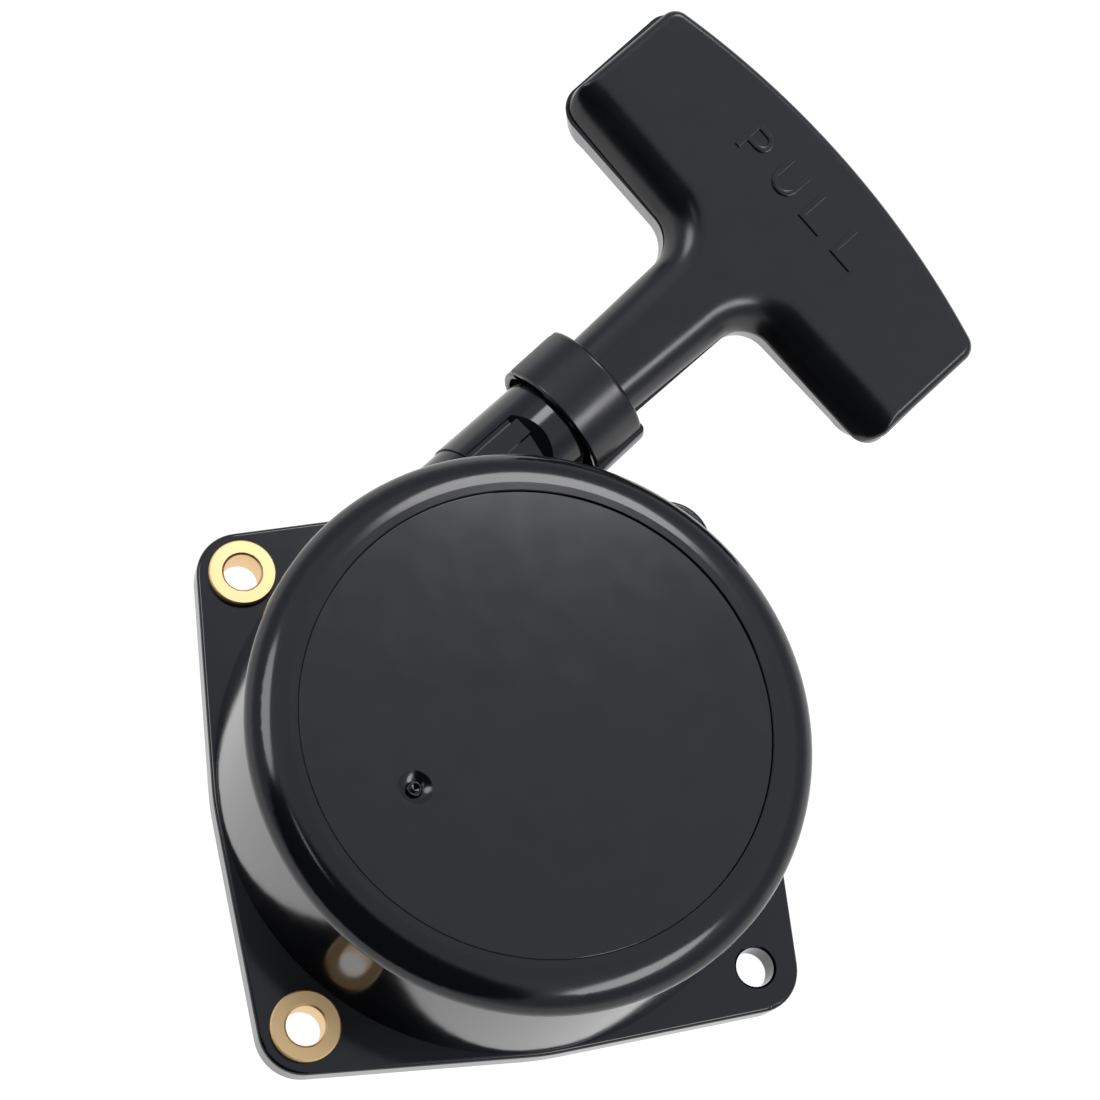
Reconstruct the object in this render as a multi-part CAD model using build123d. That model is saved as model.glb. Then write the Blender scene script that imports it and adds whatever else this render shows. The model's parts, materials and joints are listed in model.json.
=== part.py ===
from build123d import *
import math
import os

# Recoil starter for a small engine.
# Row frame, millimetres: origin on the reel axis at the plate's mounting face,
# +Z out of the drum's front face, +X and +Y along the mounting plate's sides.

# ---- plate and drum --------------------------------------------------------
PITCH = 70.0          # mounting hole pitch, both ways
PLATE_T = 4.4         # mounting plate thickness
CORNER_R = 6.9        # plate corner radius, on the hole centres
BULGE_R = 43.85       # plate edge where it follows the drum
DRUM_R = 43.3         # drum outer radius at the plate
DRUM_R_TOP = 42.2     # and under the rim: the wall has moulding draft
DRUM_TOP = 32.3       # drum face height
RIM_W = 5.9           # rolled rim: a quarter ellipse, this wide
RIM_H = 4.0           # and this high
CAVITY_R = 41.0       # inside of the drum
CEILING = 28.4        # inside of the drum's face
RECESS_R = 35.0       # recess for the face disc
RECESS_Z = 30.8
DISC_R = 34.95        # face disc, a close fit in the recess
DISC_TOP = 32.0
HOLE_R = 3.0          # plain mounting holes
BUSH_SEAT_R = 3.95    # plate hole for a bush
BUSH_R = 3.9
BUSH_BORE_R = 2.9
BUSH_FLANGE_R = 5.2
BUSH_FLANGE_T = 1.1
PIN_XY = (-19.86, -8.34)   # hollow pin in the face disc
PIN_R = 1.05
PIN_BORE_R = 0.72
DIMPLE_R = 2.55
DIMPLE_DEPTH = 0.85

# ---- rope line and handle frame -------------------------------------------
PULL_AZ = 36.33       # direction of the rope, from +X
PULL_OFF = 33.45      # rope line's distance from the reel axis
PULL_Z = 14.0         # rope line's height
HANDLE_ROLL = 7.89    # the handle's turn about its own axis
HANDLE_TILT = 12.0    # the handle sits cocked up on the neck's mouth
HANDLE_YAW = -1.69
HANDLE_PIVOT = 50.0   # where its axis meets the rope line
ROPE_R = 1.5
NECK_R = 8.3
NECK_BOSS_R = 8.05
NECK_END = 49.2
NECK_SEAM = 25.6
NECK_BORE_R = 3.2

# ---- handle ----------------------------------------------------------------
SKIRT_R = 11.0
SKIRT_IN_R = 9.9
SKIRT_A = 43.8
SKIRT_FLOOR = 51.9
SKIRT_B = 53.9
STEM_HALF_A = 7.23    # stem half width at the skirt
STEM_HALF_B = 8.14    # and at the bar
BAR_A = 78.3          # bar's drum side
BAR_SWEEP = 0.019     # slight sweep of the drum side
BAR_HALF = 37.24       # bar half length
BAR_H = 9.0           # front face over the handle's axis
BACK_H = 8.0          # back face under it
BOW_AXIS = -39.83      # centre of the bar's bowed outer edge
BOW_TOP = 107.44      # outer edge at the front face
BOW_MID = 108.75       # outer edge at the parting plane
SHOULDER_R = 5.4
BACK_SHOULDER_R = 7.0
PLAN_FILLET = 5.65
SCREW_P = 94.0
PART_W = 4.0          # the two shells meet this far in front of the rope's axis
BACK_SKEW = 1.0       # the back shell sits turned this much on the front one
SKEW_AT = 79.0

# ---- inside ----------------------------------------------------------------
POST_R = 5.5
SLEEVE_R = 6.5
REEL_BORE_R = 6.56
HUB_R = 9.2
FLANGE_R = 38.5
CORE_R = 28.8
ROPE_ROW_IN = 30.45
ROPE_ROW_OUT = 33.45
SPRING_IN = 9.75
SPRING_T = 0.4
SPRING_Z0, SPRING_Z1 = 20.7, 27.7
SPRING_TURNS = 9
RIB_IN, RIB_OUT = 25.4, 27.0
PIVOT_R = 15.5
PAWL_SWING = 40.0
GUIDE_TURN = 25.0

az = math.radians(PULL_AZ)
rl = math.radians(HANDLE_ROLL)
U = Vector(math.cos(az), math.sin(az), 0)
N0 = Vector(-math.sin(az), math.cos(az), 0)
NQ = N0 * math.cos(rl) + Vector(0, 0, 1) * math.sin(rl)
WQ = N0 * (-math.sin(rl)) + Vector(0, 0, 1) * math.cos(rl)
hz, he = math.radians(PULL_AZ + HANDLE_YAW), math.radians(HANDLE_TILT)
UH = Vector(math.cos(hz) * math.cos(he), math.sin(hz) * math.cos(he), math.sin(he))
NH = Vector(-math.sin(hz), math.cos(hz), 0)
WH = UH.cross(NH) * math.cos(rl) - NH * math.sin(rl)
ORG = N0 * PULL_OFF + Vector(0, 0, PULL_Z)
HP = Plane(origin=ORG, x_dir=U, z_dir=WQ)      # local x = p, y = q, z = w
# the handle's own frame, leaning about its pivot
HH = Plane(origin=ORG + U * HANDLE_PIVOT - UH * HANDLE_PIVOT, x_dir=UH, z_dir=WH)


def place(shape):
    return HP.location * shape


def place_h(shape):
    return HH.location * shape


def cyl(r, z0, z1, x=0.0, y=0.0):
    return Pos(x, y, z0) * Cylinder(r, z1 - z0, align=(Align.CENTER, Align.CENTER, Align.MIN))


def rod(r, p0, p1, q=0.0, w=0.0):
    """Cylinder along the local p axis."""
    c = Cylinder(r, p1 - p0, align=(Align.CENTER, Align.CENTER, Align.MIN))
    return Pos(p0, q, w) * (Rot(0, 90, 0) * c)


def box(x0, x1, y0, y1, z0, z1):
    return Pos((x0 + x1) / 2, (y0 + y1) / 2, (z0 + z1) / 2) * Box(x1 - x0, y1 - y0, z1 - z0)


def lathe(points):
    """Revolved profile, points are (r, z)."""
    with BuildSketch(Plane.XZ) as s:
        with BuildLine():
            Polyline(*points, close=True)
        make_face()
    return revolve(s.sketch, axis=Axis.Z)


def solid_of(shape):
    return shape


def best_fillet(shape, pick, radii, what):
    for r in radii:
        try:
            e = pick(shape)
            out = fillet(e, r)
            if out.is_valid and out.volume > 0:
                return out
        except Exception:
            continue
    print("no fillet on", what, radii)
    return shape


# ---------------------------------------------------------------------------
# starter case
# ---------------------------------------------------------------------------
def plate_face():
    edges = []
    d = math.hypot(PITCH / 2, PITCH / 2)
    phi = math.degrees(math.acos((BULGE_R - CORNER_R) / d))

    def on(cx, cy, r, a):
        a = math.radians(a)
        return (cx + r * math.cos(a), cy + r * math.sin(a))

    for k in range(4):
        th = 45 + 90 * k
        bx, by = on(0, 0, d, th)
        a0, a1 = th - phi, th + phi
        pA0, pB0 = on(0, 0, BULGE_R, a0), on(bx, by, CORNER_R, a0)
        pB1, pA1 = on(bx, by, CORNER_R, a1), on(0, 0, BULGE_R, a1)
        nxt = th + 90 - phi
        edges.append(Edge.make_line(pA0, pB0))
        edges.append(Edge.make_three_point_arc(pB0, on(bx, by, CORNER_R, th), pB1))
        edges.append(Edge.make_line(pB1, pA1))
        edges.append(Edge.make_three_point_arc(pA1, on(0, 0, BULGE_R, (a1 + nxt) / 2), on(0, 0, BULGE_R, nxt)))
    return Face(Wire(edges))


plate = extrude(plate_face(), amount=PLATE_T, dir=(0, 0, 1))
plate = best_fillet(plate, lambda s: s.edges().group_by(Axis.Z)[-1], (0.6, 0.4), "plate top edge")

with BuildSketch(Plane.XZ) as s:
    with BuildLine():
        l1 = Polyline((0, 0), (DRUM_R, 0), (DRUM_R, 3.0), (DRUM_R_TOP, DRUM_TOP - RIM_H))
        l2 = EllipticalCenterArc((DRUM_R_TOP - RIM_W, DRUM_TOP - RIM_H), RIM_W, RIM_H, start_angle=0, arc_size=90)
        l3 = Polyline((DRUM_R_TOP - RIM_W, DRUM_TOP), (RECESS_R + 0.12, DRUM_TOP), (RECESS_R, DRUM_TOP - 0.12),
                      (RECESS_R, RECESS_Z), (0, RECESS_Z), (0, 0))
    make_face()
drum = revolve(s.sketch, axis=Axis.Z)

with BuildSketch(Plane.XZ) as s:
    with BuildLine():
        c1 = Polyline((0, -1), (CAVITY_R, -1), (CAVITY_R, CEILING - 4.7))
        c2 = RadiusArc((CAVITY_R, CEILING - 4.7), (CAVITY_R - 4.7, CEILING), -4.7)
        c3 = Polyline((CAVITY_R - 4.7, CEILING), (0, CEILING), (0, -1))
    make_face()
cavity = revolve(s.sketch, axis=Axis.Z)

# neck: a boss on the drum and a tube that carries the rope guide
neck = place(rod(NECK_R, NECK_SEAM, NECK_END))
boss = place(rod(NECK_BOSS_R, 8.0, NECK_SEAM + 1.0))
mouth = neck.edges().sort_by(Axis(ORG, U))[-1]
try:
    neck = fillet(mouth, 0.5)
except Exception:
    print("no neck fillet")

case = plate + drum
case = case + boss + neck

# flats on the front of the neck: a groove, a ridge between two flats
flat_pts = [(4.95, 12.0), (4.95, 6.6), (4.75, 6.0), (4.15, 6.0), (3.95, 6.9), (0.95, 7.05), (0.68, 6.78), (-6.4, 5.95),
            (-12.0, 5.95), (-12.0, 12.0)]
with BuildSketch(Plane.YZ) as s:
    with BuildLine():
        Polyline(*flat_pts, close=True)
    make_face()
flats = extrude(s.sketch, amount=39.0 - (NECK_SEAM + 0.4), dir=(1, 0, 0))
flats = Pos(NECK_SEAM + 0.4, 0, 0) * flats
# they run out up a 45 degree ramp
with BuildSketch(Plane.XZ) as s:
    with BuildLine():
        Polyline((34.65, 5.2), (40.0, 10.55), (40.0, -1.0), (34.65, -1.0), close=True)
    make_face()
flats = flats - extrude(s.sketch, amount=30, both=True)
flats = place(flats)
# the flats stay on the neck and don't reach the drum's wall
flats = flats - cyl(DRUM_R + 0.02, -5, 60)
case = case - flats
case = case - cavity
case = case - place(rod(NECK_BORE_R, 6.0, NECK_END + 1))
case = case - place(rod(3.95, 44.9, NECK_END + 1))

# mounting holes: two with bushes on the left, two plain on the right
h = PITCH / 2
for sx, sy, r in ((-1, 1, BUSH_SEAT_R), (-1, -1, BUSH_SEAT_R), (1, 1, HOLE_R), (1, -1, HOLE_R)):
    case = case - cyl(r, -1, PLATE_T + 1, sx * h, sy * h)
for sx, sy in ((1, 1), (1, -1)):
    cone = Pos(sx * h, sy * h, PLATE_T - 0.35) * Cone(HOLE_R, HOLE_R + 0.36, 0.36, align=(Align.CENTER, Align.CENTER, Align.MIN))
    case = case - cone

# axle post, spring chamber wall and its three screw bosses
post = cyl(POST_R, 3.2, CEILING + 0.5) - cyl(2.1, 3.0, 21.0)
case = case + post
rib = cyl(RIB_OUT, SPRING_Z0 - 0.3, CEILING + 0.5) - cyl(RIB_IN, SPRING_Z0 - 1, CEILING + 0.6)
for k in range(3):
    a = math.radians(30 + 120 * k)
    bx, by = 28.6 * math.cos(a), 28.6 * math.sin(a)
    rib = rib + cyl(2.6, SPRING_Z0 - 0.3, CEILING + 0.5, bx, by)
rib = rib - cyl(RIB_IN, SPRING_Z0 - 1, CEILING + 0.6)
for k in range(3):
    a = math.radians(30 + 120 * k)
    bx, by = 28.6 * math.cos(a), 28.6 * math.sin(a)
    rib = rib - cyl(1.02, SPRING_Z0 - 1, CEILING - 1.0, bx, by)
case = case + rib
# hole for the hollow pin
case = case - cyl(PIN_R + 0.02, 20.0, 32.0, *PIN_XY)

# ---------------------------------------------------------------------------
# face disc and hollow pin
# ---------------------------------------------------------------------------
disc = cyl(DISC_R, RECESS_Z, DISC_TOP)
disc = best_fillet(disc, lambda s: s.edges().group_by(Axis.Z)[-1], (0.15,), "disc edge")
ball_r = (DIMPLE_R ** 2 + DIMPLE_DEPTH ** 2) / (2 * DIMPLE_DEPTH)
disc = disc - Pos(PIN_XY[0], PIN_XY[1], DISC_TOP - DIMPLE_DEPTH + ball_r) * Sphere(ball_r)
disc = disc - cyl(PIN_R + 0.02, 25, 35, *PIN_XY)

pin = cyl(PIN_R, SPRING_Z0, 31.72, *PIN_XY) - cyl(PIN_BORE_R, 31.25, 32, *PIN_XY)
pin = pin - Pos(PIN_XY[0], PIN_XY[1], 30.95) * Cone(0.12, PIN_BORE_R, 0.31, align=(Align.CENTER, Align.CENTER, Align.MIN))
pin = best_fillet(pin, lambda s: s.edges().group_by(Axis.Z)[-1], (0.12, 0.1), "pin lip")

# ---------------------------------------------------------------------------
# brass bushes
# ---------------------------------------------------------------------------
def bush(x, y):
    c = 0.3
    prof = [(BUSH_BORE_R, 0.0), (BUSH_R, 0.0), (BUSH_R, PLATE_T), (BUSH_FLANGE_R, PLATE_T),
            (BUSH_FLANGE_R, PLATE_T + BUSH_FLANGE_T - 0.2), (BUSH_FLANGE_R - 0.2, PLATE_T + BUSH_FLANGE_T),
            (BUSH_BORE_R + c, PLATE_T + BUSH_FLANGE_T), (BUSH_BORE_R, PLATE_T + BUSH_FLANGE_T - c)]
    return Pos(x, y, 0) * lathe(prof)


bushes = Compound(children=[bush(-h, h), bush(-h, -h)])

# ---------------------------------------------------------------------------
# rope guide in the neck's mouth
# ---------------------------------------------------------------------------
guide = rod(6.0, NECK_END + 0.02, NECK_END + 1.2) + rod(3.9, 45.0, NECK_END + 0.1)
guide = guide - rod(2.0, 40, 60)
guide = best_fillet(guide, lambda s: s.edges().filter_by(GeomType.CIRCLE).group_by(Axis.X)[-1], (0.5, 0.35), "rope guide")
guide = place(guide)

# ---------------------------------------------------------------------------
# spring, cover, sleeve, reel
# ---------------------------------------------------------------------------
pin_r = math.hypot(*PIN_XY)
pin_a = math.atan2(PIN_XY[1], PIN_XY[0])
EYE_IN, EYE_OUT = 1.2, 1.65
spring_out = pin_r - (EYE_IN + EYE_OUT) / 2
turns = SPRING_TURNS
n_per = 24
tot = int(turns * n_per)


def spiral_pts(off):
    pts = []
    for i in range(tot + 1):
        t = i / tot
        r = SPRING_IN + (spring_out - SPRING_IN) * t + off
        a = pin_a - 2 * math.pi * turns * (1 - t)
        pts.append((r * math.cos(a), r * math.sin(a)))
    return pts


def spring_solid():
    outer = spiral_pts(SPRING_T / 2)
    inner = spiral_pts(-SPRING_T / 2)
    edges = []
    for k in range(turns):
        edges.append(Spline(*outer[k * n_per:(k + 1) * n_per + 1]))
    edges.append(Line(outer[-1], inner[-1]))
    inn = inner[::-1]
    for k in range(turns):
        edges.append(Spline(*inn[k * n_per:(k + 1) * n_per + 1]))
    edges.append(Line(inner[0], outer[0]))
    f = make_face(Curve() + edges)
    return Pos(0, 0, SPRING_Z0) * extrude(f, amount=SPRING_Z1 - SPRING_Z0, dir=(0, 0, 1))


spring = spring_solid()
spring = spring - cyl(EYE_IN, 15, 35, *PIN_XY)
eye = cyl(EYE_OUT, SPRING_Z0, SPRING_Z1, *PIN_XY) - cyl(EYE_IN, 15, 35, *PIN_XY)
spring = spring + eye
# inner end: a tab bent into the hub's notch
tab = Rot(0, 0, math.degrees(pin_a)) * box(8.2, SPRING_IN + 0.1, -0.02, 0.38, SPRING_Z0, SPRING_Z1)
spring = spring + tab

cover = cyl(31.0, 19.9, SPRING_Z0 - 0.3) - cyl(10.4, 19, 22)
for k in range(3):
    a = math.radians(30 + 120 * k)
    cover = cover - cyl(1.15, 19, 22, 28.6 * math.cos(a), 28.6 * math.sin(a))


def cover_screw(k):
    a = math.radians(30 + 120 * k)
    x, y = 28.6 * math.cos(a), 28.6 * math.sin(a)
    head = cyl(1.9, 19.06, 19.88, x, y)
    return head + cyl(0.98, 19.5, 26.0, x, y)


cover_screws = Compound(children=[cover_screw(k) for k in range(3)])

sleeve = cyl(SLEEVE_R, 5.0, 28.3) - cyl(POST_R + 0.02, 4, 29)

reel = lathe([(REEL_BORE_R, 8.1), (FLANGE_R, 8.1), (FLANGE_R, 9.7), (CORE_R, 9.9), (CORE_R, 17.1), (FLANGE_R, 17.3),
              (FLANGE_R, 18.7), (CORE_R - 1.9, 18.7), (CORE_R - 1.9, 9.9), (HUB_R, 9.9), (HUB_R, 28.2), (REEL_BORE_R, 28.2)])
# notch for the spring's inner tab
reel = reel - (Rot(0, 0, math.degrees(pin_a)) * box(7.9, HUB_R + 0.5, -0.35, 0.75, SPRING_Z0 - 0.2, 29))
# rope hole and pawl pin holes
KNOT_A = math.degrees(az) + 90 + 150
hole = Rot(0, 0, KNOT_A) * (Pos(24.0, 0, 12.5) * (Rot(0, 90, 0) * Cylinder(1.7, 6.0, align=(Align.CENTER, Align.CENTER, Align.MIN))))
reel = reel - hole
for a in (0, 180):
    ar = math.radians(a)
    reel = reel - cyl(1.62, 7.5, 9.6, PIVOT_R * math.cos(ar), PIVOT_R * math.sin(ar))
# six stiffening ribs in the bowl
for k in range(6):
    a = 20 + 60 * k
    reel = reel + Rot(0, 0, a) * box(HUB_R - 0.3, CORE_R - 1.7, -0.8, 0.8, 9.8, 12.2 if k in (3, 4) else 16.0)

# wound rope: two rows of two turns
with BuildSketch(Plane.XZ) as s:
    for rr in (ROPE_ROW_IN, ROPE_ROW_OUT):
        for zz in (PULL_Z - 1.5, PULL_Z + 1.5):
            with Locations((rr, zz)):
                Circle(ROPE_R + 0.03)
coil = revolve(s.sketch, axis=Axis.Z)
coil = coil - place(rod(ROPE_R, 0.0, 60.0))
coil_solids = sorted(coil.solids(), key=lambda b: -b.volume)
coil = coil_solids[0]

KNOT_R = 2.55
KNOT_AT = 24.1


def knot_solid(r_knot, length):
    """A stopper knot with its rope tail, along +Z from the knot's centre."""
    zt = math.sqrt(r_knot ** 2 - ROPE_R ** 2)
    with BuildSketch(Plane.XZ) as s:
        with BuildLine():
            ThreePointArc((0, -r_knot), (r_knot, 0), (ROPE_R, zt))
            Polyline((ROPE_R, zt), (ROPE_R, length), (0, length), (0, -r_knot))
        make_face()
    return revolve(s.sketch, axis=Axis.Z)


knot_reel = Rot(0, 0, KNOT_A) * (Pos(KNOT_AT, 0, 12.5) * (Rot(0, 90, 0) * knot_solid(KNOT_R, 28.86 - KNOT_AT)))

# ---------------------------------------------------------------------------
# pawls, pins, ratchet guide, friction spring, washer, screw
# ---------------------------------------------------------------------------
def pawl_pin(a):
    ar = math.radians(a)
    x, y = PIVOT_R * math.cos(ar), PIVOT_R * math.sin(ar)
    return cyl(1.6, 4.95, 9.5, x, y)


pawl_pins = Compound(children=[pawl_pin(0), pawl_pin(180)])

TIP = (12.5, -14.0)     # pawl tip at rest, pawl A
PEG = (14.0, -7.0)      # guide peg on the pawl


def pawl_shape(a):
    with BuildSketch() as s:
        with Locations((PIVOT_R, 0)):
            Circle(3.1)
        with BuildLine():
            Polyline((12.75, -1.4), (11.4, -8.2), (11.1, -13.0), (13.3, -15.2), (14.9, -12.6), (16.9, -6.0), (18.4, -1.0), (18.0, 1.6), (13.6, 2.2), close=True)
        make_face()
    body = Pos(0, 0, 5.0) * extrude(s.sketch, amount=2.9)
    body = body + cyl(1.2, 3.35, 5.1, *PEG)
    body = body - cyl(1.66, 4, 9, PIVOT_R, 0)
    return Rot(0, 0, a) * body


pawl_a = pawl_shape(0)
pawl_b = pawl_shape(180)


def peg_in_guide(t):
    """Centre of the peg seen from the turned guide, t from 0 to 1."""
    th = math.radians(PAWL_SWING * t)
    vx, vy = PEG[0] - PIVOT_R, PEG[1]
    x = PIVOT_R + vx * math.cos(th) - vy * math.sin(th)
    y = vx * math.sin(th) + vy * math.cos(th)
    ph = -math.radians(GUIDE_TURN * t)
    return (x * math.cos(ph) - y * math.sin(ph), x * math.sin(ph) + y * math.cos(ph))


ratchet = cyl(22.8, 3.3, 4.8) - cyl(POST_R + 0.06, 3, 6)
steps = 12
slot_r = 1.42
slot = None
for i in range(steps):
    (x0, y0), (x1, y1) = peg_in_guide(i / steps), peg_in_guide((i + 1) / steps)
    with BuildSketch() as s:
        with Locations((x0, y0)):
            Circle(slot_r)
        with Locations((x1, y1)):
            Circle(slot_r)
        dx, dy = x1 - x0, y1 - y0
        L = math.hypot(dx, dy)
        with Locations(Location(((x0 + x1) / 2, (y0 + y1) / 2, 0), (0, 0, math.degrees(math.atan2(dy, dx))))):
            Rectangle(L, 2 * slot_r)
    seg = Pos(0, 0, 3.0) * extrude(s.sketch, amount=2.2)
    slot = seg if slot is None else slot + seg
ratchet = ratchet - slot - (Rot(0, 0, 180) * slot)
# lightening windows between the slots
for a in (75, 255):
    ratchet = ratchet - (Rot(0, 0, a) * box(11.0, 18.5, -5.0, 5.0, 3, 5))

with BuildLine() as hl:
    Helix(pitch=1.12, height=1.8, radius=7.75)
wire = hl.wires()[0]
start = wire @ 0
tang = wire % 0
friction = sweep(Plane(origin=start, z_dir=tang) * Circle(0.48), path=wire)
friction = Pos(0, 0, 5.5) * friction

washer = cyl(8.5, 2.2, 3.2) - cyl(2.6, 2, 4)
screw = cyl(4.6, 0.35, 2.18) + cyl(2.05, 2.0, 19.0)
screw = best_fillet(screw, lambda s: s.edges().group_by(Axis.Z)[0], (0.6, 0.4), "screw head")
screw = screw - box(-3.6, 3.6, -0.55, 0.55, 0.0, 1.3) - box(-0.55, 0.55, -3.6, 3.6, 0.0, 1.3)

# ---------------------------------------------------------------------------
# handle, in local p, q, w
# ---------------------------------------------------------------------------
def bar_x(q):
    return BAR_A + BAR_SWEEP * abs(q)


def t_plan(reach):
    """Plan of the stem and a bar that runs past its real ends."""
    with BuildSketch() as s:
        with BuildLine():
            Polyline((SKIRT_B - 2.0, -STEM_HALF_A), (BAR_A, -STEM_HALF_B), (bar_x(reach), -reach), (140, -reach),
                     (140, reach), (bar_x(reach), reach), (BAR_A, STEM_HALF_B), (SKIRT_B - 2.0, STEM_HALF_A), close=True)
        make_face()
        vs = [v for v in s.vertices() if abs(v.X - BAR_A) < 0.01]
        fillet(vs, PLAN_FILLET)
    return s.sketch


def t_half(height, bow_top, bow_mid, end_r, shoulder, top_r):
    body = extrude(t_plan(60), amount=height)

    def chain(b):
        top = [e for e in b.edges() if e.bounding_box().min.Z > height - 0.01]
        out = []
        for e in top:
            c = e.center()
            bb = e.bounding_box()
            if bb.min.X > 139 or (abs(bb.max.X - bb.min.X) > 30 and abs(c.Y) > 50):
                continue
            if bb.max.X < SKIRT_B - 1.9:
                continue
            out.append(e)
        return out

    body = best_fillet(body, chain, (shoulder, shoulder * 0.8, shoulder * 0.6), "handle shoulder")
    with BuildSketch(Plane.XZ) as s:
        with BuildLine():
            Polyline((40, -0.0), (bow_mid, -0.0), (bow_top, height), (40, height), close=True)
        make_face()
        vs = [v for v in s.vertices() if v.Y > height - 0.01 and v.X > 100] or [v for v in s.vertices() if v.Z > height - 0.01 and v.X > 100]
        fillet(vs, top_r)
    ax = Axis((BOW_AXIS, 0, 0), (0, 0, 1))
    bow = revolve(s.sketch, axis=ax, revolution_arc=56)
    bow = bow.rotate(ax, -28)
    bb = bow.bounding_box()
    if abs(bb.min.Y + bb.max.Y) > 1:
        bow = bow.rotate(ax, 56)
    body = body & bow
    body = body & box(20, 150, -BAR_HALF, BAR_HALF, 0, height)

    def rim(b):
        return [e for e in b.edges() if abs(abs(e.center().Y) - BAR_HALF) < 0.01
                and e.bounding_box().max.Z > 0.01 and e.bounding_box().max.Y - e.bounding_box().min.Y < 0.01]

    body = best_fillet(body, rim, (end_r, end_r * 0.85, end_r * 0.7, end_r * 0.5, 0.8), "bar end rim")
    return body


def half_space(side):
    return box(0, 200, -80, 80, PART_W, 60) if side > 0 else box(0, 200, -80, 80, -60, PART_W)


def collar(side):
    c = rod(SKIRT_R, SKIRT_A, SKIRT_B)
    c = fillet([e for e in c.edges().filter_by(GeomType.CIRCLE)], 0.45)
    return c & half_space(side)


def letter_strokes():
    """Four raised capitals along the bar, tops towards the bowed edge."""
    hgt, wid, st = 4.86, 4.1, 0.8
    rows = []

    def bar(x, y, w_, h_):
        return Pos(x, y) * Rectangle(w_, h_)

    def P():
        g = bar(-wid / 2 + st / 2, 0, st, hgt)
        ring = Pos(-wid / 2 + 2.35, hgt / 2 - 1.65) * (Circle(1.65) - Circle(1.65 - st))
        ring = ring - Pos(-wid / 2 + 2.35 - 2.0, hgt / 2 - 1.65) * Rectangle(4.0, 6)
        g = g + ring
        g = g + bar(-wid / 2 + 1.3, hgt / 2 - st / 2, 2.3, st) + bar(-wid / 2 + 1.3, hgt / 2 - 3.3 + st / 2, 2.3, st)
        return g

    def Uu():
        rr = wid / 2
        g = bar(-rr + st / 2, rr / 2, st, hgt - rr) + bar(rr - st / 2, rr / 2, st, hgt - rr)
        ring = Pos(0, -hgt / 2 + rr) * (Circle(rr) - Circle(rr - st))
        ring = ring - Pos(0, -hgt / 2 + rr + 5) * Rectangle(10, 10)
        return g + ring

    def Ll():
        return bar(-wid / 2 + st / 2, 0, st, hgt) + bar(0, -hgt / 2 + st / 2, wid, st)

    return [P(), Uu(), Ll(), Ll()]


LET_P = 97.84
LET_Q = (11.4, 3.8, -3.8, -11.4)
LET_H = 0.35

front = t_half(BAR_H, BOW_TOP, BOW_MID + (BOW_MID - BOW_TOP) * PART_W / (BAR_H - PART_W), 1.8, SHOULDER_R, 1.2)
front = front & half_space(+1)
front = front + collar(+1)
for g, q in zip(letter_strokes(), LET_Q):
    # reading direction runs along -q, letter tops point along +p
    sol = extrude(g, amount=LET_H + 0.3)
    sol = Pos(LET_P, q, BAR_H - 0.3) * (Rot(0, 0, -90) * sol)
    front = front + sol
front = front - (rod(SKIRT_IN_R, SKIRT_A - 1, SKIRT_FLOOR))
front = front - rod(1.9, SKIRT_FLOOR - 1, 68.6)
front = front - box(69.9, 85.0, -4.9, 4.9, -1, 6.2)
front = front - box(83.6, 102.0, -33.8, 33.8, -1, 6.8)
for q in (-24.0, 24.0):
    front = front + cyl(3.2, PART_W, 8.0, SCREW_P, q)
    front = front - cyl(1.28, -1, 7.8, SCREW_P, q)
front = front - box(68.55, 69.95, -4.9, 4.9, -1, 4.4)

back = t_half(BACK_H + PART_W, BOW_MID - 3.6, BOW_MID, 3.4, BACK_SHOULDER_R, 3.0)
back = Pos(0, 0, PART_W) * mirror(back, about=Plane.XY)
back = back + collar(-1)
back = back.rotate(Axis((SKEW_AT, 0, 0), (0, 0, 1)), BACK_SKEW)
back = back - rod(SKIRT_IN_R, SKIRT_A - 2, SKIRT_FLOOR)
back = back - rod(1.9, SKIRT_FLOOR - 1, 68.6)
back = back - box(69.9, 86.0, -4.9, 4.9, -5.6, 5)
back = back - box(85.0, 102.0, -32.6, 32.6, -5.6, 5)
for q in (-24.0, 24.0):
    back = back + cyl(4.2, -7.9, PART_W, SCREW_P, q)
    back = back - cyl(1.6, -9, 5, SCREW_P, q)
    back = back - cyl(3.1, -9, -5.4, SCREW_P, q)
back = back - box(68.55, 69.95, -4.9, 4.9, -4.4, 5)

rope_washer = rod(4.2, 68.65, 69.85) - rod(1.75, 60, 75)
rope_run = place(rod(ROPE_R, 0.0, HANDLE_PIVOT)) + place_h(rod(ROPE_R, HANDLE_PIVOT, 70.6))
rope_run = rope_run + place(Pos(HANDLE_PIVOT, 0, 0) * Sphere(ROPE_R))
knot_handle = Pos(72.7, 0, 0) * (Rot(0, 90, 0) * knot_solid(2.8, 5.8))
knot_handle = knot_handle - box(60, 70.6, -5, 5, -5, 5)


def handle_screw(q):
    s_ = cyl(2.85, -7.2, -5.42, SCREW_P, q) + cyl(1.25, -5.6, 7.4, SCREW_P, q)
    s_ = s_ - box(SCREW_P - 0.4, SCREW_P + 0.4, q - 1.7, q + 1.7, -7.5, -6.3) - box(SCREW_P - 1.7, SCREW_P + 1.7, q - 0.4, q + 0.4, -7.5, -6.3)
    return s_


screws = Compound(children=[place_h(handle_screw(24.0)), place_h(handle_screw(-24.0))])

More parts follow.
